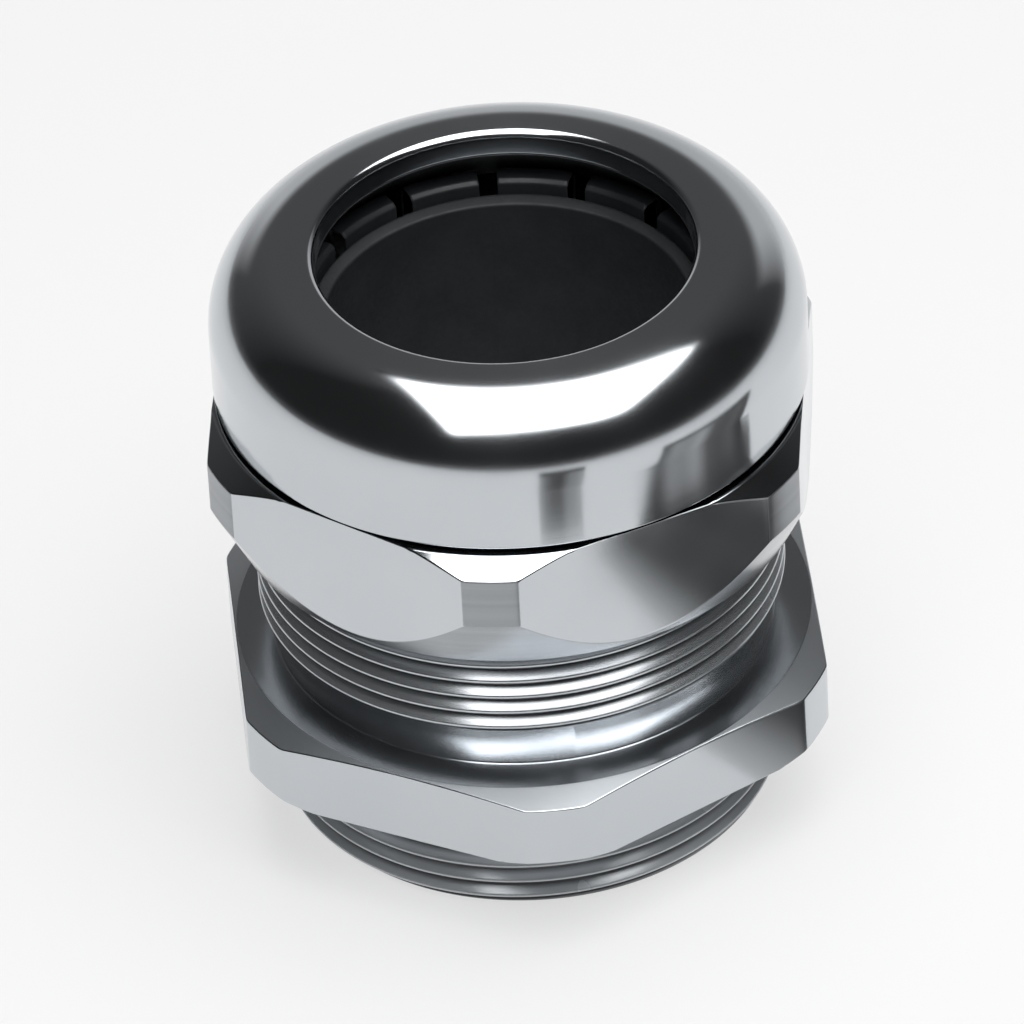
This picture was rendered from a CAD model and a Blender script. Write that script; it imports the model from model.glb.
import math

import bmesh
import bpy
from mathutils import Matrix, Vector


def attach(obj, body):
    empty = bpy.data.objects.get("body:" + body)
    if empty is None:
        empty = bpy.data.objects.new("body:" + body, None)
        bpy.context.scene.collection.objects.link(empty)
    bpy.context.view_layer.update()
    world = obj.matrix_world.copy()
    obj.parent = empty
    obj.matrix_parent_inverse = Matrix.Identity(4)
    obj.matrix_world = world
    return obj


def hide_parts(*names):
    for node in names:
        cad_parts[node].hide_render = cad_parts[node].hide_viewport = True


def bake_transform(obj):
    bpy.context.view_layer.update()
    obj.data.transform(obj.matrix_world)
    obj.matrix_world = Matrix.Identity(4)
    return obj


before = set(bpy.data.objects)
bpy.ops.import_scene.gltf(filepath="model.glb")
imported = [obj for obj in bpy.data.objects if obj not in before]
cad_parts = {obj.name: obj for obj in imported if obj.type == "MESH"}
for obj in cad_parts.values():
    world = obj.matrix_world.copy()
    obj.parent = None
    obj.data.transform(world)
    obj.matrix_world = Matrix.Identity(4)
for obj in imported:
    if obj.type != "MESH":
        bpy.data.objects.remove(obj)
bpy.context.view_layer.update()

mm = 0.001

# --- camera, as it stood for the photo ---------------------------------------------------
camera_azimuth = math.radians(-3.525)    # swung from -Y towards -X
camera_elevation = math.radians(37.668)
camera_roll = math.radians(-3.176)
camera_distance = 0.84845
camera_lens = 378.5                      # millimetres, on a sensor 36 mm wide
camera_aim = Vector((-0.000528, 0.0, 0.023941))

# --- driving dimensions of the metal parts, as in the CAD --------------------------------
apothem = 23.0 * mm
taper_slope = math.tan(math.radians(30))
edge_rounding = 0.12 * mm         # distance from a corner to where its rounding starts
fine_rounding = 0.08 * mm
support = 0.06 * mm               # a second line beside each rounding keeps the faces flat
same_point = 0.0003 * mm          # points nearer than this are joined
same_surface = 0.005 * mm         # a point nearer than this to a surface lies on it
corner_softness = 0.12 * mm       # rounding of the upright edges beside the turned corners
flat_steps = 24                   # columns across the middle of a flat
crown_steps = 24                  # rows along the crown's arc
edge_steps = 8                    # rows round the edge of the opening

collar_corner_angle = math.radians(-90.0)
collar_corner_radius = 25.3 * mm
collar_bottom = 8.3 * mm
collar_corner_bottom = 8.8 * mm
collar_corner_top = 14.0 * mm
collar_top = 14.5 * mm
collar_chamfer_rim = 22.8 * mm

nut_corner_angle = math.radians(-99.3)
nut_corner_radius = 25.4 * mm
nut_bottom = 26.9 * mm
nut_bottom_radius = 22.7 * mm
nut_corner_bottom = 32.5 * mm
nut_corner_top = 36.7 * mm
nut_hexagon_top = 38.0 * mm
nut_chamfer_rim = 23.7 * mm
nut_top = 50.1 * mm
dome_wall_radius = 23.3 * mm
dome_wall_foot = 38.35 * mm
dome_groove_radius = 22.9 * mm
crown_radius = 6.5 * mm
opening_radius = 14.8 * mm
opening_edge_round = 0.7 * mm
nut_relief_radius = 21.2 * mm
nut_mouth_depth = 0.6 * mm
nut_shoulder = 43.0 * mm
cone_slope = 0.88
contact_radius = 17.75 * mm       # the fingers' outer edge, which the cone pushes in
contact_height = 44.3 * mm
slip_ring_gap = 0.22 * mm
slip_ring_thickness = 0.85 * mm
fine_clearance = 0.06 * mm
slip_ring_bottom = 43.3 * mm
slip_ring_top = 48.0 * mm

bore_radius = 15.0 * mm
bore_chamfer = 1.0 * mm
socket_radius = 17.9 * mm
socket_floor = 27.0 * mm
socket_chamfer = 0.5 * mm

pitch = 1.5 * mm
half_crest = 0.095 * mm
thread_softness = 0.05 * mm
entry_thread_radius = 19.9 * mm
entry_thread_root = 19.05 * mm
entry_thread_chamfer = 0.8 * mm
entry_relief_radius = 18.9 * mm
entry_relief_bottom = 5.9 * mm
o_ring_radius = 19.88 * mm
o_ring_height = 9.05 * mm
o_ring_section_radius = 0.95 * mm
o_ring_groove_radius = 20.9 * mm
o_ring_groove_top = 10.03 * mm
cap_thread_radius = 20.88 * mm
cap_thread_root = 20.0 * mm
neck_radius = 19.85 * mm
neck_top = 17.8 * mm
body_top = 36.0 * mm
body_top_chamfer = 0.9 * mm
nut_thread_crest = 20.2 * mm
nut_thread_root = 21.1 * mm
nut_thread_bottom = nut_bottom + nut_mouth_depth
nut_thread_top = 38.0 * mm


def turned_with_camera(point):
    """A point given in the camera's azimuth frame, in the row frame."""
    return Matrix.Rotation(camera_azimuth, 3, "Z") @ Vector(point)


def add_camera():
    camera = bpy.data.objects.new("camera", bpy.data.cameras.new("camera"))
    camera.data.lens = camera_lens
    camera.data.sensor_width = 36
    camera.data.clip_start = 0.05
    camera.data.clip_end = 20
    back = Vector((0, -math.cos(camera_elevation), math.sin(camera_elevation)))
    up = Vector((0, math.sin(camera_elevation), math.cos(camera_elevation)))
    right = Vector((1, 0, 0))
    rolled_right = right * math.cos(camera_roll) + up * math.sin(camera_roll)
    rolled_up = up * math.cos(camera_roll) - right * math.sin(camera_roll)
    swing = Matrix.Rotation(camera_azimuth, 3, "Z")
    place = swing @ Matrix((rolled_right, rolled_up, back)).transposed()
    camera.matrix_world = place.to_4x4()
    camera.location = swing @ (camera_aim + back * camera_distance)
    bpy.context.scene.collection.objects.link(camera)
    bpy.context.scene.camera = camera


# --- sections ----------------------------------------------------------------------------
def turn(before, corner, after, rounding):
    """The points of a small smooth turn at a corner, with a support point on each side."""
    back = before - corner
    onward = after - corner
    reach = min(rounding, back.length * 0.42, onward.length * 0.42)
    start = corner + back.normalized() * reach
    end = corner + onward.normalized() * reach
    points = [corner + back.normalized() * min(reach + support, back.length * 0.48)]
    for t in (0, 0.25, 0.5, 0.75, 1):
        points.append(start * (1 - t) ** 2 + corner * (2 * t * (1 - t)) + end * t ** 2)
    points.append(corner + onward.normalized() * min(reach + support, onward.length * 0.48))
    return points


def rounded(points):
    """An open line of (radius, height, rounding) corners with its corners rounded."""
    places = [Vector(point[:2]) for point in points]
    line = [places[0]]
    for index in range(1, len(points) - 1):
        rounding = points[index][2]
        if rounding:
            line += turn(places[index - 1], places[index], places[index + 1], rounding)
        else:
            line.append(places[index])
    line.append(places[-1])
    return line


def hexagon_radius(angle, corner_angle, corner_radius):
    """Radius of a hexagon whose corners are turned down, with softened upright edges."""
    from_flat = (angle - corner_angle) % math.radians(60) - math.radians(30)
    flat = apothem / math.cos(from_flat)
    gap = flat - corner_radius
    return (flat + corner_radius - math.hypot(gap, corner_softness)) / 2


def hexagon_columns(corner_angle, corner_radius):
    """Column angles round a hexagon, closer together beside its turned corners."""
    band = math.radians(30) - math.acos(apothem / corner_radius)
    near = [band * share for share in (0, 0.35, 0.7, 0.88, 0.96, 1, 1.04, 1.12, 1.3)]
    wide = math.radians(60) - 2 * near[-1]
    middle = [near[-1] + wide * step / flat_steps for step in range(1, flat_steps)]
    sector = near + middle + [math.radians(60) - offset for offset in reversed(near[1:])]
    columns = [
        corner_angle + math.radians(60) * number + offset
        for number in range(6)
        for offset in sector
    ]
    return columns + [corner_angle + math.tau]


def ridge_profile(offset, root, crest):
    """Radius of a thread with flat crests, at an offset in height from a ridge's centre."""
    depth = abs(crest - root)
    outward = 1 if crest > root else -1

    def sharp(distance):
        return min(max((half_crest + depth * taper_slope - distance) / taper_slope, 0), depth)

    offset = abs((offset + pitch / 2) % pitch - pitch / 2)
    soft = sharp(abs(offset - thread_softness)) + sharp(offset + thread_softness)
    return root + outward * (soft + 2 * sharp(offset)) / 4


def thread_line(angle, root, crest, bottom, top, start):
    """Rising section line of a thread; its rows climb with the helix, so edges stay crisp."""
    flank_end = half_crest + abs(crest - root) * taper_slope
    soft = thread_softness
    half = [0, half_crest - soft, half_crest, half_crest + soft, (half_crest + flank_end) / 2]
    half += [flank_end - soft, flank_end, flank_end + soft]
    offsets = half + [pitch / 2] + [pitch - offset for offset in reversed(half[1:])]
    centre = start + pitch * angle / math.tau
    first = math.floor((bottom - start) / pitch) - 3
    last = math.ceil((top - start) / pitch) + 3
    line = []
    for number in range(first, last):
        for offset in offsets:
            height = min(max(centre + number * pitch + offset, bottom), top)
            line.append(Vector((ridge_profile(height - centre, root, crest), height)))
    return line


# --- metal parts -------------------------------------------------------------------------
def collar_line(angle):
    """Section of the hexagon collar from the relief above the entry thread to the neck."""
    flat = hexagon_radius(angle, collar_corner_angle, collar_corner_radius)
    bottom_rim = collar_corner_radius - (collar_corner_bottom - collar_bottom) / taper_slope
    low = collar_bottom + max(flat - bottom_rim, 0) * taper_slope
    chamfer = (collar_top - collar_corner_top) / (collar_corner_radius - collar_chamfer_rim)
    high = collar_corner_top + (collar_corner_radius - flat) * chamfer
    return rounded(
        [
            (entry_relief_radius, entry_relief_bottom, 0),
            (entry_relief_radius, o_ring_groove_top, fine_rounding),
            (o_ring_groove_radius, o_ring_groove_top, fine_rounding),
            (o_ring_groove_radius, collar_bottom, fine_rounding),
            (min(flat, bottom_rim), collar_bottom, edge_rounding),
            (flat, low, edge_rounding),
            (flat, high, edge_rounding),
            (collar_chamfer_rim, collar_top, edge_rounding),
            (neck_radius, collar_top, edge_rounding),
            (neck_radius, neck_top, 0),
        ]
    )


def body_section(angle):
    entry = thread_line(angle, entry_thread_root, entry_thread_radius, 0, entry_relief_bottom, 0)
    lead_in = entry_thread_radius - entry_thread_chamfer
    entry = [Vector((min(p.x, lead_in + p.y), p.y)) for p in entry]
    cap = thread_line(angle, cap_thread_root, cap_thread_radius, neck_top, body_top, neck_top)
    cap_end = cap_thread_radius - body_top_chamfer
    cap = [
        Vector((min(p.x, cap_end + body_top - p.y, neck_radius + 2 * (p.y - neck_top)), p.y))
        for p in cap
    ]
    inside = rounded(
        [
            (cap_end, body_top, 0),
            (socket_radius + socket_chamfer, body_top, fine_rounding),
            (socket_radius, body_top - socket_chamfer, fine_rounding),
            (socket_radius, socket_floor, fine_rounding),
            (bore_radius, socket_floor, edge_rounding),
            (bore_radius, bore_chamfer, edge_rounding),
            (bore_radius + bore_chamfer, 0, fine_rounding),
            (lead_in, 0, 0),
        ]
    )
    return entry + collar_line(angle) + cap + inside


def nut_outside_line(angle):
    """Section of the dome nut's outside, from its mouth to the edge of the opening."""
    flat = hexagon_radius(angle, nut_corner_angle, nut_corner_radius)
    taper = (nut_corner_bottom - nut_bottom) / (nut_corner_radius - nut_bottom_radius)
    low = nut_bottom + (flat - nut_bottom_radius) * taper
    chamfer = (nut_hexagon_top - nut_corner_top) / (nut_corner_radius - nut_chamfer_rim)
    high = min(nut_corner_top + (nut_corner_radius - flat) * chamfer, nut_hexagon_top)
    crown_start = nut_top - crown_radius
    crown_inner = dome_wall_radius - crown_radius
    crown = []
    for step in range(crown_steps + 1):
        around = math.pi / 2 * step / crown_steps
        radius = crown_inner + crown_radius * math.cos(around)
        crown.append((radius, crown_start + crown_radius * math.sin(around), 0))
    return rounded(
        [
            (nut_relief_radius, nut_bottom, 0),
            (nut_bottom_radius, nut_bottom, edge_rounding),
            (flat, low, edge_rounding),
            (flat, high, edge_rounding),
            (min(flat, nut_chamfer_rim), nut_hexagon_top, fine_rounding),
            (dome_groove_radius, nut_hexagon_top, fine_rounding),
            (dome_groove_radius, dome_wall_foot, fine_rounding),
            (dome_wall_radius, dome_wall_foot, edge_rounding),
        ]
        + crown
        + [(opening_radius + opening_edge_round, nut_top, 0)]
    )


def cone_radius(height, offset):
    """Radius of the closing cone at a height, at an offset from the fingers' outer edge."""
    return contact_radius + offset - (height - contact_height) * cone_slope


def nut_inside_line():
    """Section of the dome nut's inside, from the edge of the opening down to its thread."""
    clear = slip_ring_gap + slip_ring_thickness + fine_clearance
    cone_top = slip_ring_top + fine_clearance
    edge = []
    for step in range(edge_steps + 1):
        around = math.pi / 2 * step / edge_steps
        radius = opening_radius + opening_edge_round * (1 - math.sin(around))
        edge.append((radius, nut_top - opening_edge_round * (1 - math.cos(around)), 0))
    return rounded(
        edge
        + [
            (opening_radius, cone_top, fine_rounding),
            (cone_radius(cone_top, clear), cone_top, fine_rounding),
            (cone_radius(nut_shoulder, clear), nut_shoulder, fine_rounding),
            (nut_relief_radius, nut_shoulder, fine_rounding),
            (nut_relief_radius, nut_thread_top, 0),
        ]
    )


def nut_section(angle):
    start = neck_top + pitch * 4.5
    thread = thread_line(
        angle, nut_thread_root, nut_thread_crest, nut_thread_bottom, nut_thread_top, start
    )
    lead_in = nut_relief_radius + nut_thread_bottom
    thread = [Vector((max(p.x, lead_in - p.y), p.y)) for p in reversed(thread)]
    return nut_outside_line(angle) + nut_inside_line() + thread


def skin(name, columns, section_at):
    """A closed mesh through a section loop of (radius, height) points at every column."""
    vertices = []
    for angle in columns:
        section = section_at(angle)
        count = len(section)
        vertices += [
            (point.x * math.cos(angle), point.x * math.sin(angle), point.y)
            for point in section
        ]
    faces = []
    for column in range(len(columns) - 1):
        here = column * count
        there = here + count
        for row in range(count):
            above = (row + 1) % count
            faces.append((here + row, there + row, there + above, here + above))
    return finished(name, vertices, faces)


def finished(name, vertices, faces):
    """An object with smooth shading, without the faces that have shrunk to nothing."""
    mesh = bpy.data.meshes.new(name)
    mesh.from_pydata(vertices, [], faces)
    work = bmesh.new()
    work.from_mesh(mesh)
    bmesh.ops.remove_doubles(work, verts=work.verts, dist=same_point)
    bmesh.ops.dissolve_degenerate(work, dist=same_point / 3, edges=work.edges)
    work.to_mesh(mesh)
    work.free()
    mesh.shade_smooth()
    piece = bpy.data.objects.new(name, mesh)
    bpy.context.scene.collection.objects.link(piece)
    return piece


# --- rubber and plastic parts --------------------------------------------------------------
seal_bore_radius = 14.3 * mm
seal_sleeve_radius = 15.4 * mm
seal_foot_radius = 17.8 * mm
seal_bottom = 27.05 * mm
seal_foot_top = 29.2 * mm
seal_top = 43.8 * mm
seal_top_drop = 0.35 * mm
seal_bend_start = 37.2 * mm       # below this the seal stays put, above it follows a finger

finger_count = 14
finger_half_angle = math.radians(10.2)
first_gap_angle = math.radians(90)
cage_inner_radius = 15.6 * mm
hinge_radius = 16.7 * mm
hinge_height = 37.6 * mm
knuckle_radius = 0.65 * mm
knuckle_length = 4.6 * mm
finger_bottom = 38.0 * mm
finger_root_radius = 17.35 * mm
finger_top = 44.9 * mm
finger_top_bevel = 0.5 * mm
finger_tip_round = 0.35 * mm
finger_side_round = 0.14 * mm

moulding_line = 0.03 * mm         # how far the O-ring's moulding lines stand out
seal_lip_round = 0.3 * mm
bend_steps = 12                   # rows along the part of the seal that bends
sector_steps = 10                 # columns of one finger's share of the seal
ring_steps = 192
round_steps = 32                  # points round the O-ring's section
knuckle_steps = 24


def closed(points):
    """A closed loop of rounded corners: the loop starts half way along its first side."""
    middle = (Vector(points[0][:2]) + Vector(points[1][:2])) / 2
    start = (middle.x, middle.y, 0)
    return rounded([start] + points[1:] + [points[0], start])[:-1]


def ring_columns():
    return [math.tau * step / ring_steps for step in range(ring_steps + 1)]


def slip_ring_section():
    inside = slip_ring_gap
    outside = slip_ring_gap + slip_ring_thickness
    return closed(
        [
            (cone_radius(slip_ring_bottom, outside), slip_ring_bottom, edge_rounding),
            (cone_radius(slip_ring_top, outside), slip_ring_top, edge_rounding),
            (cone_radius(slip_ring_top, inside), slip_ring_top, edge_rounding),
            (cone_radius(slip_ring_bottom, inside), slip_ring_bottom, edge_rounding),
        ]
    )


def o_ring_section():
    """A round section with a fine moulding line on its outside and inside."""
    line = []
    for step in range(round_steps):
        around = math.tau * step / round_steps
        on_moulding_line = step % (round_steps // 2) == 0
        reach = o_ring_section_radius if on_moulding_line else o_ring_section_radius - moulding_line
        radius = o_ring_radius + reach * math.cos(around)
        line.append(Vector((radius, o_ring_height + o_ring_section_radius * math.sin(around))))
    return line


def seal_section():
    """The seal's section, with rows close together where the fingers bend it."""
    bend = [
        (seal_sleeve_radius, seal_bend_start + (seal_top - seal_bend_start) * step / bend_steps, 0)
        for step in range(bend_steps)
    ]
    inner_top = seal_top - seal_top_drop
    inner_bend = [
        (seal_bore_radius, inner_top - (inner_top - seal_bend_start) * step / bend_steps, 0)
        for step in range(1, bend_steps + 1)
    ]
    return closed(
        [
            (seal_bore_radius, seal_bottom, edge_rounding),
            (seal_foot_radius, seal_bottom, edge_rounding),
            (seal_foot_radius, seal_foot_top, edge_rounding),
            (seal_sleeve_radius, seal_foot_top, edge_rounding),
        ]
        + bend
        + [
            (seal_sleeve_radius, seal_top, seal_lip_round),
            (seal_bore_radius, inner_top, seal_lip_round),
        ]
        + inner_bend
    )


def finger_section():
    return closed(
        [
            (finger_root_radius, finger_bottom, edge_rounding),
            (contact_radius, contact_height, edge_rounding),
            (contact_radius - finger_top_bevel, finger_top, edge_rounding),
            (cage_inner_radius + finger_tip_round, finger_top, edge_rounding),
            (cage_inner_radius, finger_top - finger_tip_round, edge_rounding),
            (cage_inner_radius, finger_bottom, edge_rounding),
        ]
    )


def add_loops(vertices, faces, loops):
    """Join loops of points one to the next and close the first and the last."""
    first = len(vertices)
    count = len(loops[0])
    for loop in loops:
        vertices += loop
    for number in range(len(loops) - 1):
        here = first + number * count
        there = here + count
        for row in range(count):
            above = (row + 1) % count
            faces.append((here + row, there + row, there + above, here + above))
    faces.append(tuple(range(first, first + count))[::-1])
    faces.append(tuple(range(first + (len(loops) - 1) * count, len(vertices))))


def upright_loop(angle, section, inset):
    """A section at an angle round the gland, shrunk by an inset towards its middle."""
    middle = sum(section, Vector((0, 0))) / len(section)
    loop = []
    for point in section:
        inward = middle - point
        point = point + inward * min(1, inset / inward.length)
        loop.append((point.x * math.cos(angle), point.x * math.sin(angle), point.y))
    return loop


def finger_piece(name, direction):
    """A finger with rounded sides, and the knuckle on which it turns."""
    places = []
    for share in (0, 0.3, 0.65, 1):
        inset = finger_side_round * (1 - math.sin(math.pi / 2 * share))
        back = finger_side_round * (1 - math.cos(math.pi / 2 * share))
        places.append((-finger_half_angle + back / cage_inner_radius, inset))
    middle = [(finger_half_angle * share, 0) for share in (-0.9, -0.6, -0.3, 0, 0.3, 0.6, 0.9)]
    places += middle + [(-offset, inset) for offset, inset in reversed(places)]
    section = finger_section()
    blade = [upright_loop(direction + offset, section, inset) for offset, inset in places]
    vertices = []
    faces = []
    add_loops(vertices, faces, blade)
    add_loops(vertices, faces, knuckle_loops(direction))
    return finished(name, vertices, faces)


def knuckle_loops(direction):
    """Rings of points along a finger's hinge line, smaller at both ends."""
    outward = Vector((math.cos(direction), math.sin(direction), 0))
    along = Vector((-math.sin(direction), math.cos(direction), 0))
    centre = outward * hinge_radius + Vector((0, 0, hinge_height))
    loops = []
    for share, size in ((-0.5, 0.7), (-0.46, 1), (0.46, 1), (0.5, 0.7)):
        middle = centre + along * knuckle_length * share
        ring = []
        for step in range(knuckle_steps):
            around = -math.tau * step / knuckle_steps
            spoke = outward * math.cos(around) + Vector((0, 0, 1)) * math.sin(around)
            ring.append(tuple(middle + spoke * knuckle_radius * size))
        loops.append(ring)
    return loops


def seal_piece(name, start, end):
    """The part of the seal behind one finger. Its ends meet its neighbours'."""
    section = seal_section()
    angles = [start + (end - start) * step / sector_steps for step in range(sector_steps + 1)]
    vertices = []
    faces = []
    add_loops(vertices, faces, [upright_loop(angle, section, 0) for angle in angles])
    piece = finished(name, vertices, faces)
    mark_sharp_ends(piece.data)
    return piece


def mark_sharp_ends(mesh):
    """Keep the flat ends of a piece from bending the shading of its sides."""
    for polygon in mesh.polygons:
        if len(polygon.vertices) > 4:
            polygon.use_smooth = False
            for key in polygon.edge_keys:
                edge = mesh.edges[mesh.edge_keys.index(key)]
                edge.use_edge_sharp = True


# --- materials ---------------------------------------------------------------------------
# The metal meshes carry numbers from 0 to about 1 that steer their plating: "shade" darkens
# it, "flat" leaves out the lathe's rings, "matt" roughens it, "satin" makes it mirror less,
# and "lean" tips the shading of a thread's flanks outwards.
flank_lean = 0.27                 # plating and polish round a thread's flanks over this much
ring_depth = 0.02 * mm

root_darkness = 0.9
relief_darkness = 0.8
nut_corner_darkness = 0.4
nut_underside_darkness = 0.35
thread_matt = 0.25
neck_matt = 0.12
chamfer_matt = 0.7
nut_corner_matt = 0.5
entry_thread_satin = 1.2
cap_thread_satin = 0.4


def new_material(name):
    material = bpy.data.materials.new(name)
    material.use_nodes = True
    tree = material.node_tree
    tree.nodes.clear()
    output = tree.nodes.new("ShaderNodeOutputMaterial")
    shader = tree.nodes.new("ShaderNodeBsdfPrincipled")
    tree.links.new(shader.outputs["BSDF"], output.inputs["Surface"])
    return material, tree, shader


def node(tree, kind, **settings):
    made = tree.nodes.new(kind)
    for name, value in settings.items():
        setattr(made, name, value)
    return made


def calculate(tree, operation, first, second=None):
    """A math node on two inputs, each a socket or a number."""
    made = node(tree, "ShaderNodeMath", operation=operation)
    for socket, value in zip(made.inputs, (first, second)):
        if isinstance(value, bpy.types.NodeSocket):
            tree.links.new(value, socket)
        elif value is not None:
            socket.default_value = value
    return made.outputs[0]


def spread(tree, value, low, high, new_low, new_high):
    """A value moved from one range to another and kept inside it."""
    made = node(tree, "ShaderNodeMapRange", clamp=True)
    tree.links.new(value, made.inputs["Value"])
    names = ("From Min", "From Max", "To Min", "To Max")
    for name, number in zip(names, (low, high, new_low, new_high)):
        made.inputs[name].default_value = number
    return made.outputs["Result"]


def noise(tree, vector, scale, detail=4.0, roughness=0.55):
    made = node(tree, "ShaderNodeTexNoise")
    made.inputs["Scale"].default_value = scale
    made.inputs["Detail"].default_value = detail
    made.inputs["Roughness"].default_value = roughness
    tree.links.new(vector, made.inputs["Vector"])
    return made.outputs["Fac"]


def mixed_colour(tree, amount, first, second):
    """A colour between two, each a socket or red, green and blue."""
    made = node(tree, "ShaderNodeMix", data_type="RGBA")
    tree.links.new(amount, made.inputs["Factor"])
    for name, value in (("A", first), ("B", second)):
        socket = next(s for s in made.inputs if s.name == name and s.type == "RGBA")
        if isinstance(value, bpy.types.NodeSocket):
            tree.links.new(value, socket)
        else:
            socket.default_value = (*value, 1)
    return next(s for s in made.outputs if s.type == "RGBA")


def round_the_axis(tree, position):
    """Distance from the axis and height, as a vector: patterns made on it run in rings."""
    split = node(tree, "ShaderNodeSeparateXYZ")
    tree.links.new(position, split.inputs["Vector"])
    x_square = calculate(tree, "MULTIPLY", split.outputs["X"], split.outputs["X"])
    y_square = calculate(tree, "MULTIPLY", split.outputs["Y"], split.outputs["Y"])
    distance = calculate(tree, "SQRT", calculate(tree, "ADD", x_square, y_square))
    rings = node(tree, "ShaderNodeCombineXYZ")
    tree.links.new(distance, rings.inputs["X"])
    tree.links.new(split.outputs["Z"], rings.inputs["Z"])
    return rings.outputs["Vector"]


def vector_step(tree, operation, first, second=None):
    """A vector math node on a socket and, if needed, another socket or three numbers."""
    made = node(tree, "ShaderNodeVectorMath", operation=operation)
    tree.links.new(first, made.inputs[0])
    if isinstance(second, bpy.types.NodeSocket):
        tree.links.new(second, made.inputs[1])
    elif second is not None:
        made.inputs[1].default_value = second
    return made.outputs["Vector"]


def leaned_outwards(tree, position, amount):
    """The surface's normal, leaned away from the gland's axis by an amount."""
    outward = vector_step(tree, "NORMALIZE", vector_step(tree, "MULTIPLY", position, (1, 1, 0)))
    in_world = node(tree, "ShaderNodeVectorTransform", vector_type="VECTOR")
    in_world.convert_from = "OBJECT"
    in_world.convert_to = "WORLD"
    tree.links.new(outward, in_world.inputs["Vector"])
    lean = vector_step(tree, "MULTIPLY", in_world.outputs["Vector"], amount)
    normal = node(tree, "ShaderNodeNewGeometry").outputs["Normal"]
    return vector_step(tree, "NORMALIZE", vector_step(tree, "ADD", lean, normal))


def attribute(tree, name):
    return node(tree, "ShaderNodeAttribute", attribute_name=name).outputs["Fac"]


def bump(tree, shader, height, strength, distance, normal=None):
    made = node(tree, "ShaderNodeBump")
    made.inputs["Strength"].default_value = strength
    made.inputs["Distance"].default_value = distance
    tree.links.new(height, made.inputs["Height"])
    if normal is not None:
        tree.links.new(normal, made.inputs["Normal"])
    tree.links.new(made.outputs["Normal"], shader.inputs["Normal"])


def colour_plating(tree, shader, colour, dull_colour, smudges, rings):
    """Plating in two near colours, darkened by "shade" where dirt and shadow collect."""
    clean = mixed_colour(tree, spread(tree, smudges, 0.35, 0.75, 0.0, 0.35), colour, dull_colour)
    dark = tuple(part * 0.07 for part in dull_colour)
    mottled = spread(tree, noise(tree, rings, 700, 3.0), 0.3, 0.7, 0.8, 1.2)
    darkness = calculate(tree, "MULTIPLY", attribute(tree, "shade"), mottled)
    tree.links.new(mixed_colour(tree, darkness, clean, dark), shader.inputs["Base Color"])


def polish_plating(tree, shader, roughness, smudges, turned):
    """Gloss drawn out across the lathe's grooves; "matt" and "satin" areas mirror less."""
    satin = calculate(tree, "MULTIPLY", attribute(tree, "satin"), 0.6)
    tree.links.new(calculate(tree, "SUBTRACT", 1.0, satin), shader.inputs["Metallic"])
    polish = spread(tree, smudges, 0.3, 0.7, roughness * 0.8, roughness * 1.25)
    coarse = calculate(tree, "MULTIPLY", attribute(tree, "matt"), 0.42)
    tree.links.new(calculate(tree, "ADD", polish, coarse), shader.inputs["Roughness"])
    less_grooved = calculate(tree, "MULTIPLY", attribute(tree, "lean"), 0.3)
    grooved = calculate(tree, "SUBTRACT", 0.7, less_grooved)
    tree.links.new(calculate(tree, "MULTIPLY", turned, grooved), shader.inputs["Anisotropic"])
    shader.inputs["Anisotropic Rotation"].default_value = 0.25
    tangent = node(tree, "ShaderNodeTangent", direction_type="RADIAL", axis="Z")
    tree.links.new(tangent.outputs["Tangent"], shader.inputs["Tangent"])


def groove_plating(tree, shader, position, rings, turned):
    """Fine and wide rings from the lathe; the "lean" of thread flanks rounds them over."""
    lean = attribute(tree, "lean")
    fine_rings = calculate(tree, "MULTIPLY", noise(tree, rings, 2600, 2.0, 0.6), 0.35)
    wide_rings = calculate(tree, "MULTIPLY", noise(tree, rings, 600, 1.0), 0.65)
    height = calculate(tree, "MULTIPLY", calculate(tree, "ADD", fine_rings, wide_rings), turned)
    calm = calculate(tree, "SUBTRACT", 1.0, calculate(tree, "MULTIPLY", lean, 0.75))
    height = calculate(tree, "MULTIPLY", height, calm)
    normal = leaned_outwards(tree, position, calculate(tree, "MULTIPLY", lean, flank_lean))
    bump(tree, shader, height, 0.1, ring_depth, normal)


def plated_brass(name, colour, dull_colour, roughness):
    """Bright nickel plating over turned brass: rings from the lathe, faint smudges, dark roots."""
    material, tree, shader = new_material(name)
    position = node(tree, "ShaderNodeTexCoord").outputs["Object"]
    rings = round_the_axis(tree, position)
    smudges = noise(tree, position, 95, 2.0)
    turned = calculate(tree, "SUBTRACT", 1.0, attribute(tree, "flat"))
    colour_plating(tree, shader, colour, dull_colour, smudges, rings)
    polish_plating(tree, shader, roughness, smudges, turned)
    groove_plating(tree, shader, position, rings, turned)
    return material


def moulded(name, colour, worn_colour, roughness, grain_scale, grain_depth):
    """Moulded plastic or rubber: a fine grain, uneven gloss and slightly lighter patches."""
    material, tree, shader = new_material(name)
    position = node(tree, "ShaderNodeTexCoord").outputs["Object"]
    patches = noise(tree, position, 220, 4.0)
    grain = noise(tree, position, grain_scale, 3.0, 0.65)
    tone = mixed_colour(tree, spread(tree, patches, 0.35, 0.7, 0.0, 1.0), colour, worn_colour)
    tree.links.new(tone, shader.inputs["Base Color"])
    gloss = spread(tree, grain, 0.3, 0.7, roughness - 0.06, roughness + 0.06)
    tree.links.new(gloss, shader.inputs["Roughness"])
    shader.inputs["Specular IOR Level"].default_value = 0.45
    bump(tree, shader, grain, 0.25, grain_depth)
    return material


def mark(mesh, name, value_at):
    """A number for each vertex from its distance from the axis, angle and height."""
    layer = mesh.attributes.new(name, "FLOAT", "POINT")
    for vertex, item in zip(mesh.vertices, layer.data):
        x, y, z = vertex.co
        item.value = value_at(math.hypot(x, y), math.atan2(y, x), z)


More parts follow.
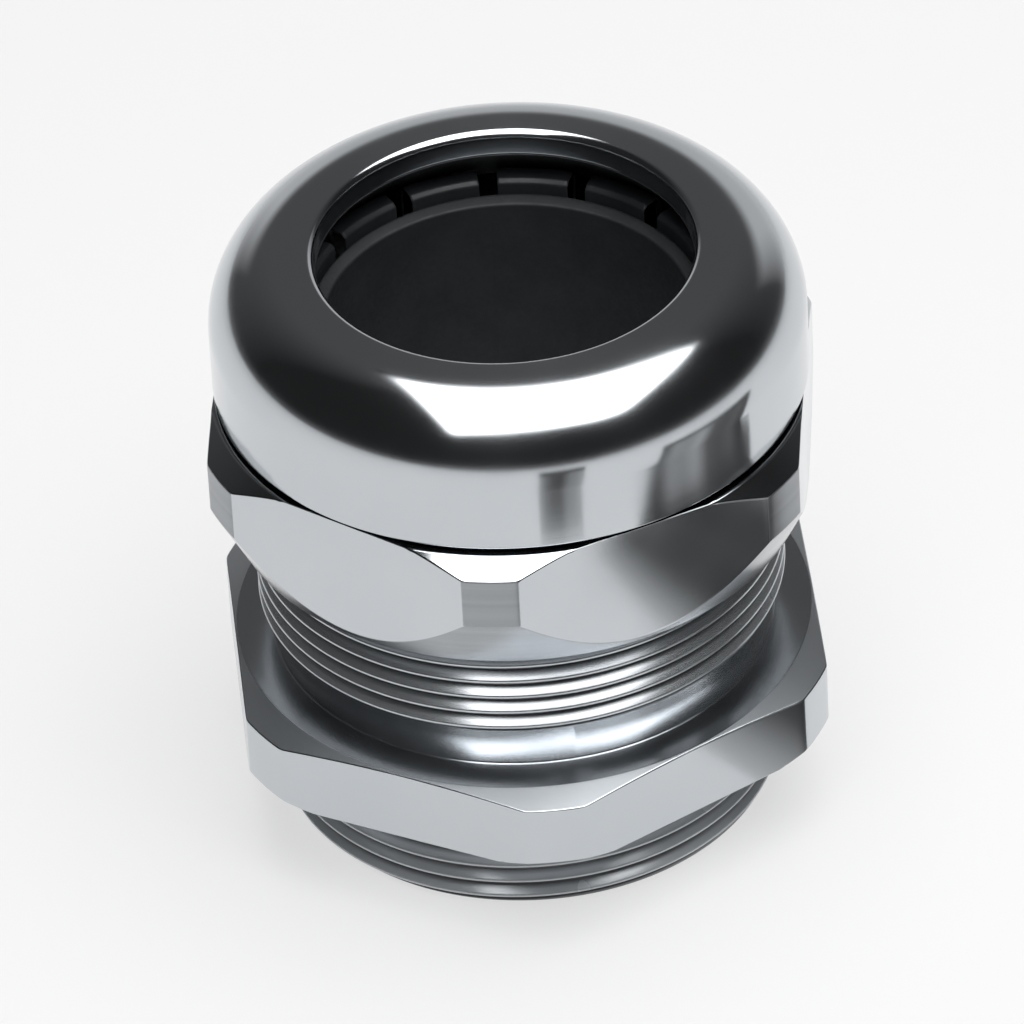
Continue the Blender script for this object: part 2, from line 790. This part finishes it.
def on_flat(radius, angle, corner_angle):
    from_flat = (angle - corner_angle) % math.radians(60) - math.radians(30)
    return abs(radius * math.cos(from_flat) - apothem) < 0.02 * mm


def depth_in_thread(radius, root, crest):
    """0 at a thread's crest, rising steeply to 1 at its root."""
    return min(max((crest - radius) / (crest - root), 0), 1) ** 4


def mark_body(mesh):
    """Where the body is flat, matt, satin, dark, or a thread with rounded-over flanks."""

    def outside(radius):
        return radius > socket_radius + socket_chamfer + edge_rounding

    def on_entry_thread(radius, height):
        return outside(radius) and height < entry_relief_bottom

    def on_cap_thread(radius, height):
        return outside(radius) and height > neck_top

    def on_chamfer(radius, height):
        slope = (collar_top - collar_corner_top) / (collar_corner_radius - collar_chamfer_rim)
        line = collar_corner_top + (collar_corner_radius - radius) * slope
        return radius > collar_chamfer_rim and abs(height - line) < same_surface

    def on_neck(radius, height):
        on_step = collar_top - edge_rounding < height <= neck_top
        return on_step and bore_radius + bore_chamfer < radius < collar_chamfer_rim

    def shade(radius, angle, height):
        if on_cap_thread(radius, height):
            return root_darkness * depth_in_thread(radius, cap_thread_root, cap_thread_radius)
        if on_entry_thread(radius, height):
            return root_darkness * depth_in_thread(radius, entry_thread_root, entry_thread_radius)
        in_relief = entry_relief_bottom <= height < collar_bottom and radius < entry_thread_radius
        return relief_darkness * float(in_relief)

    def flat(radius, angle, height):
        on_side = collar_bottom < height < collar_top
        return float(on_side and on_flat(radius, angle, collar_corner_angle))

    def matt(radius, angle, height):
        if on_cap_thread(radius, height) or on_entry_thread(radius, height):
            return thread_matt
        if on_neck(radius, height):
            return neck_matt
        return chamfer_matt * float(on_chamfer(radius, height))

    def lean(radius, angle, height):
        return float(on_cap_thread(radius, height) or on_entry_thread(radius, height))

    def satin(radius, angle, height):
        if on_entry_thread(radius, height):
            return entry_thread_satin
        return cap_thread_satin * float(on_cap_thread(radius, height))

    mark(mesh, "shade", shade)
    mark(mesh, "flat", flat)
    mark(mesh, "matt", matt)
    mark(mesh, "lean", lean)
    mark(mesh, "satin", satin)


def mark_nut(mesh):
    """The same for the nut; its turned corners are duller than the rest."""

    def on_corner(radius, height):
        on_side = nut_corner_bottom - 0.1 * mm < height < nut_corner_top + 0.1 * mm
        return on_side and radius > nut_corner_radius - 0.07 * mm

    def on_underside(radius, height):
        slope = (nut_corner_radius - nut_bottom_radius) / (nut_corner_bottom - nut_bottom)
        line = nut_bottom_radius + (height - nut_bottom) * slope
        return nut_bottom < height < nut_corner_bottom and abs(radius - line) < same_surface

    def in_groove(radius, height):
        on_wall = nut_hexagon_top - 0.01 * mm < height < dome_wall_foot + 0.01 * mm
        return on_wall and abs(radius - dome_groove_radius) < 0.2 * mm

    def shade(radius, angle, height):
        if on_corner(radius, height):
            return nut_corner_darkness
        if on_underside(radius, height):
            return nut_underside_darkness
        return float(in_groove(radius, height))

    def flat(radius, angle, height):
        on_side = nut_bottom < height < nut_hexagon_top
        return float(on_side and on_flat(radius, angle, nut_corner_angle))

    def matt(radius, angle, height):
        in_thread = radius < nut_relief_radius - 0.02 * mm and height < nut_thread_top
        return 1.0 if in_thread else nut_corner_matt * float(on_corner(radius, height))

    mark(mesh, "shade", shade)
    mark(mesh, "flat", flat)
    mark(mesh, "matt", matt)


# --- studio ------------------------------------------------------------------------------
def glow_material(name, strength, attribute_name):
    material = bpy.data.materials.new(name)
    material.use_nodes = True
    tree = material.node_tree
    tree.nodes.clear()
    glow = tree.nodes.new("ShaderNodeEmission")
    level = calculate(tree, "MULTIPLY", attribute(tree, attribute_name), strength)
    tree.links.new(level, glow.inputs["Strength"])
    output = tree.nodes.new("ShaderNodeOutputMaterial")
    tree.links.new(glow.outputs["Emission"], output.inputs["Surface"])
    return material


def soft_step(value, edge, width):
    share = min(max((value - edge) / width, 0), 1)
    return share * share * (3 - 2 * share)


def glowing_sheet(name, rows, strength):
    """A sheet through rows of (x, y, z, glow) points, lit by its own glow."""
    vertices = [turned_with_camera(point[:3]) for row in rows for point in row]
    across = len(rows[0])
    faces = []
    for row in range(len(rows) - 1):
        for column in range(across - 1):
            corner = row * across + column
            faces.append((corner, corner + 1, corner + across + 1, corner + across))
    mesh = bpy.data.meshes.new(name)
    mesh.from_pydata(vertices, [], faces)
    layer = mesh.attributes.new("glow", "FLOAT", "POINT")
    layer.data.foreach_set("value", [point[3] for row in rows for point in row])
    mesh.materials.append(glow_material(name, strength, "glow"))
    sheet = bpy.data.objects.new(name, mesh)
    sheet.visible_camera = False
    bpy.context.scene.collection.objects.link(sheet)
    return sheet


def only_reflected(sheet):
    sheet.visible_diffuse = False
    sheet.visible_shadow = False
    sheet.visible_transmission = False


def add_softbox():
    """The big lamp over the gland, fading towards its edges and its front left corner."""
    height = 0.6
    back_left = Vector((-0.135, 0.36))
    back_right = Vector((0.37, 0.27))
    front_right = Vector((0.45, -0.44))
    front_left = Vector((-0.285, -0.56))
    steps = 48
    rows = []
    for row in range(steps + 1):
        along = row / steps
        points = []
        for column in range(steps + 1):
            across = column / steps
            front = front_left.lerp(front_right, across)
            place = front.lerp(back_left.lerp(back_right, across), along)
            fade = soft_step(across, 0, 0.05) * soft_step(1 - across, 0, 0.06)
            fade *= soft_step(along, 0, 0.12) * soft_step(1 - along, 0, 0.14) ** 2
            fade *= soft_step(along + 0.9 * (1 - across), 0.08, 0.2)
            points.append((place.x, place.y, height, fade))
        rows.append(points)
    glowing_sheet("overhead_softbox", rows, 5.0)


def level_at(levels, share):
    """A level between evenly spaced levels."""
    spot = share * (len(levels) - 1)
    low = min(int(spot), len(levels) - 2)
    return levels[low] + (levels[low + 1] - levels[low]) * (spot - low)


def add_upright_card(name, radius, start, end, top, levels):
    """A curved dark card beside the gland, darkest along its top, seen only in reflections."""
    steps = 40
    top_share = 0.08
    rows = []
    for height, share in (
        (0.3 * mm, 1),
        (0.86 * top, 1),
        (0.9 * top, top_share),
        (top, top_share),
    ):
        points = []
        for step in range(steps + 1):
            angle = math.radians(start + (end - start) * step / steps)
            glow = level_at(levels, step / steps) * share
            points.append((radius * math.sin(angle), -radius * math.cos(angle), height, glow))
        rows.append(points)
    only_reflected(glowing_sheet(name, rows, 1.0))


def add_floor_card():
    """A dark patch lying to the right of the gland, seen only in reflections."""
    height = 0.2 * mm
    steps = 12
    near_edge = [(24, -10), (25, -16), (33, -33), (41, -54)]
    far_edge = [(76, -2), (78, -14), (74, -30), (66, -60)]
    rows = []
    for near, far in zip(near_edge, far_edge):
        points = []
        for step in range(steps + 1):
            share = step / steps
            dark = 0.7 - 0.64 * soft_step(share, 0.02, 0.12)
            glow = dark + 0.04 * math.sin(16 * share + near[0])
            place = Vector(near).lerp(Vector(far), share) * mm
            points.append((place.x, place.y, height, glow))
        rows.append(points)
    only_reflected(glowing_sheet("floor_card", rows, 1.0))


def add_floor():
    size = 3.0
    mesh = bpy.data.meshes.new("floor")
    corners = [(-size, -size, 0), (size, -size, 0), (size, size, 0), (-size, size, 0)]
    mesh.from_pydata(corners, [], [(0, 1, 2, 3)])
    floor = bpy.data.objects.new("floor", mesh)
    bpy.context.scene.collection.objects.link(floor)
    material, tree, shader = new_material("floor_white")
    shader.inputs["Base Color"].default_value = (0.26, 0.26, 0.26, 1)
    shader.inputs["Roughness"].default_value = 0.9
    shader.inputs["Specular IOR Level"].default_value = 0.0
    shader.inputs["Emission Color"].default_value = (1, 1, 1, 1)
    shader.inputs["Emission Strength"].default_value = 0.62
    mesh.materials.append(material)


def add_world():
    """A dark room with a pale wall low behind the gland; the camera itself sees pale grey."""
    world = bpy.data.worlds.new("studio")
    bpy.context.scene.world = world
    world.use_nodes = True
    tree = world.node_tree
    tree.nodes.clear()
    path = node(tree, "ShaderNodeLightPath")
    seen = path.outputs["Is Camera Ray"]
    unseen = calculate(tree, "SUBTRACT", 1.0, seen)
    strength = calculate(
        tree,
        "ADD",
        calculate(tree, "MULTIPLY", seen, 0.85),
        calculate(tree, "MULTIPLY", room_light(tree), unseen),
    )
    background = tree.nodes.new("ShaderNodeBackground")
    background.inputs["Color"].default_value = (1, 1, 1, 1)
    tree.links.new(strength, background.inputs["Strength"])
    output = tree.nodes.new("ShaderNodeOutputWorld")
    tree.links.new(background.outputs["Background"], output.inputs["Surface"])


def room_light(tree):
    """The room's light by direction: a wall, a haze towards the back and a faint horizon."""
    turn_back = node(tree, "ShaderNodeVectorRotate", rotation_type="Z_AXIS")
    turn_back.inputs["Angle"].default_value = -camera_azimuth
    direction = node(tree, "ShaderNodeTexCoord").outputs["Generated"]
    tree.links.new(direction, turn_back.inputs["Vector"])
    split = node(tree, "ShaderNodeSeparateXYZ")
    tree.links.new(turn_back.outputs["Vector"], split.inputs["Vector"])
    up = split.outputs["Z"]
    up_square = calculate(tree, "MULTIPLY", up, up)
    level = calculate(tree, "SQRT", calculate(tree, "SUBTRACT", 1.0, up_square))
    level = calculate(tree, "MAXIMUM", level, 0.001)
    backness = calculate(tree, "DIVIDE", split.outputs["Y"], level)
    sideways = calculate(tree, "DIVIDE", split.outputs["X"], level)

    towards_wall = calculate(tree, "ADD", backness, calculate(tree, "MULTIPLY", sideways, 0.12))
    behind = spread(tree, towards_wall, 0.74, 0.92, 0.0, 1.0)
    above_wall = calculate(tree, "SUBTRACT", up, calculate(tree, "MULTIPLY", sideways, 0.1))
    low = spread(tree, above_wall, 0.3, 0.42, 1.0, 0.0)
    wall = calculate(tree, "MULTIPLY", calculate(tree, "MULTIPLY", behind, low), 0.5)
    haze = spread(tree, backness, 0.3, 0.95, 0.0, 0.075)
    horizon = spread(tree, up, 0.0, 0.12, 0.09, 0.0)
    faint = calculate(tree, "ADD", horizon, 0.02)
    return calculate(tree, "ADD", calculate(tree, "ADD", wall, haze), faint)


# --- the scene ---------------------------------------------------------------------------
def place(piece, material, node_name, body, slot):
    """Give a piece its material, the CAD node it stands for, its body and its slot."""
    piece.data.materials.append(material)
    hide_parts(node_name)
    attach(piece, body)


def add_metal():
    nickel = plated_brass("body_nickel", (0.56, 0.585, 0.61), (0.5, 0.53, 0.56), 0.14)
    columns = hexagon_columns(collar_corner_angle, collar_corner_radius)
    body = skin("body_metal", columns, body_section)
    mark_body(body.data)
    place(body, nickel, "gland_body", "gland_body", "plated_brass_body")

    bright = plated_brass("nut_nickel", (0.57, 0.595, 0.62), (0.51, 0.54, 0.57), 0.12)
    columns = hexagon_columns(nut_corner_angle, nut_corner_radius)
    nut = skin("nut_metal", columns, nut_section)
    mark_nut(nut.data)
    place(nut, bright, "dome_nut", "dome_nut", "plated_brass_nut")


def add_rings():
    black = (0.012, 0.012, 0.013)
    worn_black = (0.02, 0.02, 0.021)
    rubber = moulded("o_ring_rubber", black, worn_black, 0.55, 2600, 0.02 * mm)
    ring = skin("entry_o_ring_rubber", ring_columns(), lambda angle: o_ring_section())
    place(ring, rubber, "entry_o_ring", "gland_body", "o_ring_rubber")

    grey = (0.012, 0.013, 0.015)
    worn_grey = (0.018, 0.02, 0.022)
    slippery = moulded("slip_polyamide", grey, worn_grey, 0.4, 3600, 0.01 * mm)
    slip = skin("slip_ring_plastic", ring_columns(), lambda angle: slip_ring_section())
    place(slip, slippery, "slip_ring", "slip_ring", "slip_polyamide")


def add_cage_and_seal():
    """The cage's ring is the CAD's own; the fingers and the seal are pieces made here."""
    grey = (0.018, 0.02, 0.023)
    worn_grey = (0.028, 0.031, 0.035)
    polyamide = moulded("polyamide", grey, worn_grey, 0.42, 3200, 0.02 * mm)
    black = (0.010, 0.0115, 0.013)
    worn_black = (0.017, 0.019, 0.021)
    rubber = moulded("seal_rubber", black, worn_black, 0.6, 2200, 0.03 * mm)
    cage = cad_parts["clamping_cage_ring"].data
    cage.materials.clear()
    cage.materials.append(polyamide)
    for label, direction in fingers():
        cad_finger = f"clamping_finger_{label}"
        finger = finger_piece(f"finger_{label}", direction)
        place(finger, polyamide, cad_finger, cad_finger, "polyamide")
        add_seal_sector(label, direction, rubber)


def add_seal_sector(label, direction, rubber):
    """The seal's share behind one finger; its top bends with that finger."""
    half_sector = math.pi / finger_count
    seal = seal_piece(f"seal_{label}", direction - half_sector, direction + half_sector)
    seal.data.materials.append(rubber)
    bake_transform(seal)
    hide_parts("sealing_insert")


def fingers():
    """The label and direction of each finger."""
    step = math.tau / finger_count
    return [
        (f"{number + 1:02d}", first_gap_angle + step * (number + 0.5))
        for number in range(finger_count)
    ]


add_camera()
add_floor()
add_world()
add_softbox()
side_levels = [0.06, 0.4, 0.36, 0.5, 0.14, 0.12, 0.16, 0.04]
post_levels = [0.5, 0.2, 0.1, 0.08, 0.3, 0.36, 0.5]
add_upright_card("side_card", 73 * mm, 46, 82, 31 * mm, side_levels)
add_upright_card("front_post", 74 * mm, 6.5, 20.5, 38 * mm, post_levels)
add_floor_card()
add_metal()
add_rings()
add_cage_and_seal()
bpy.context.scene.view_settings.view_transform = "Standard"
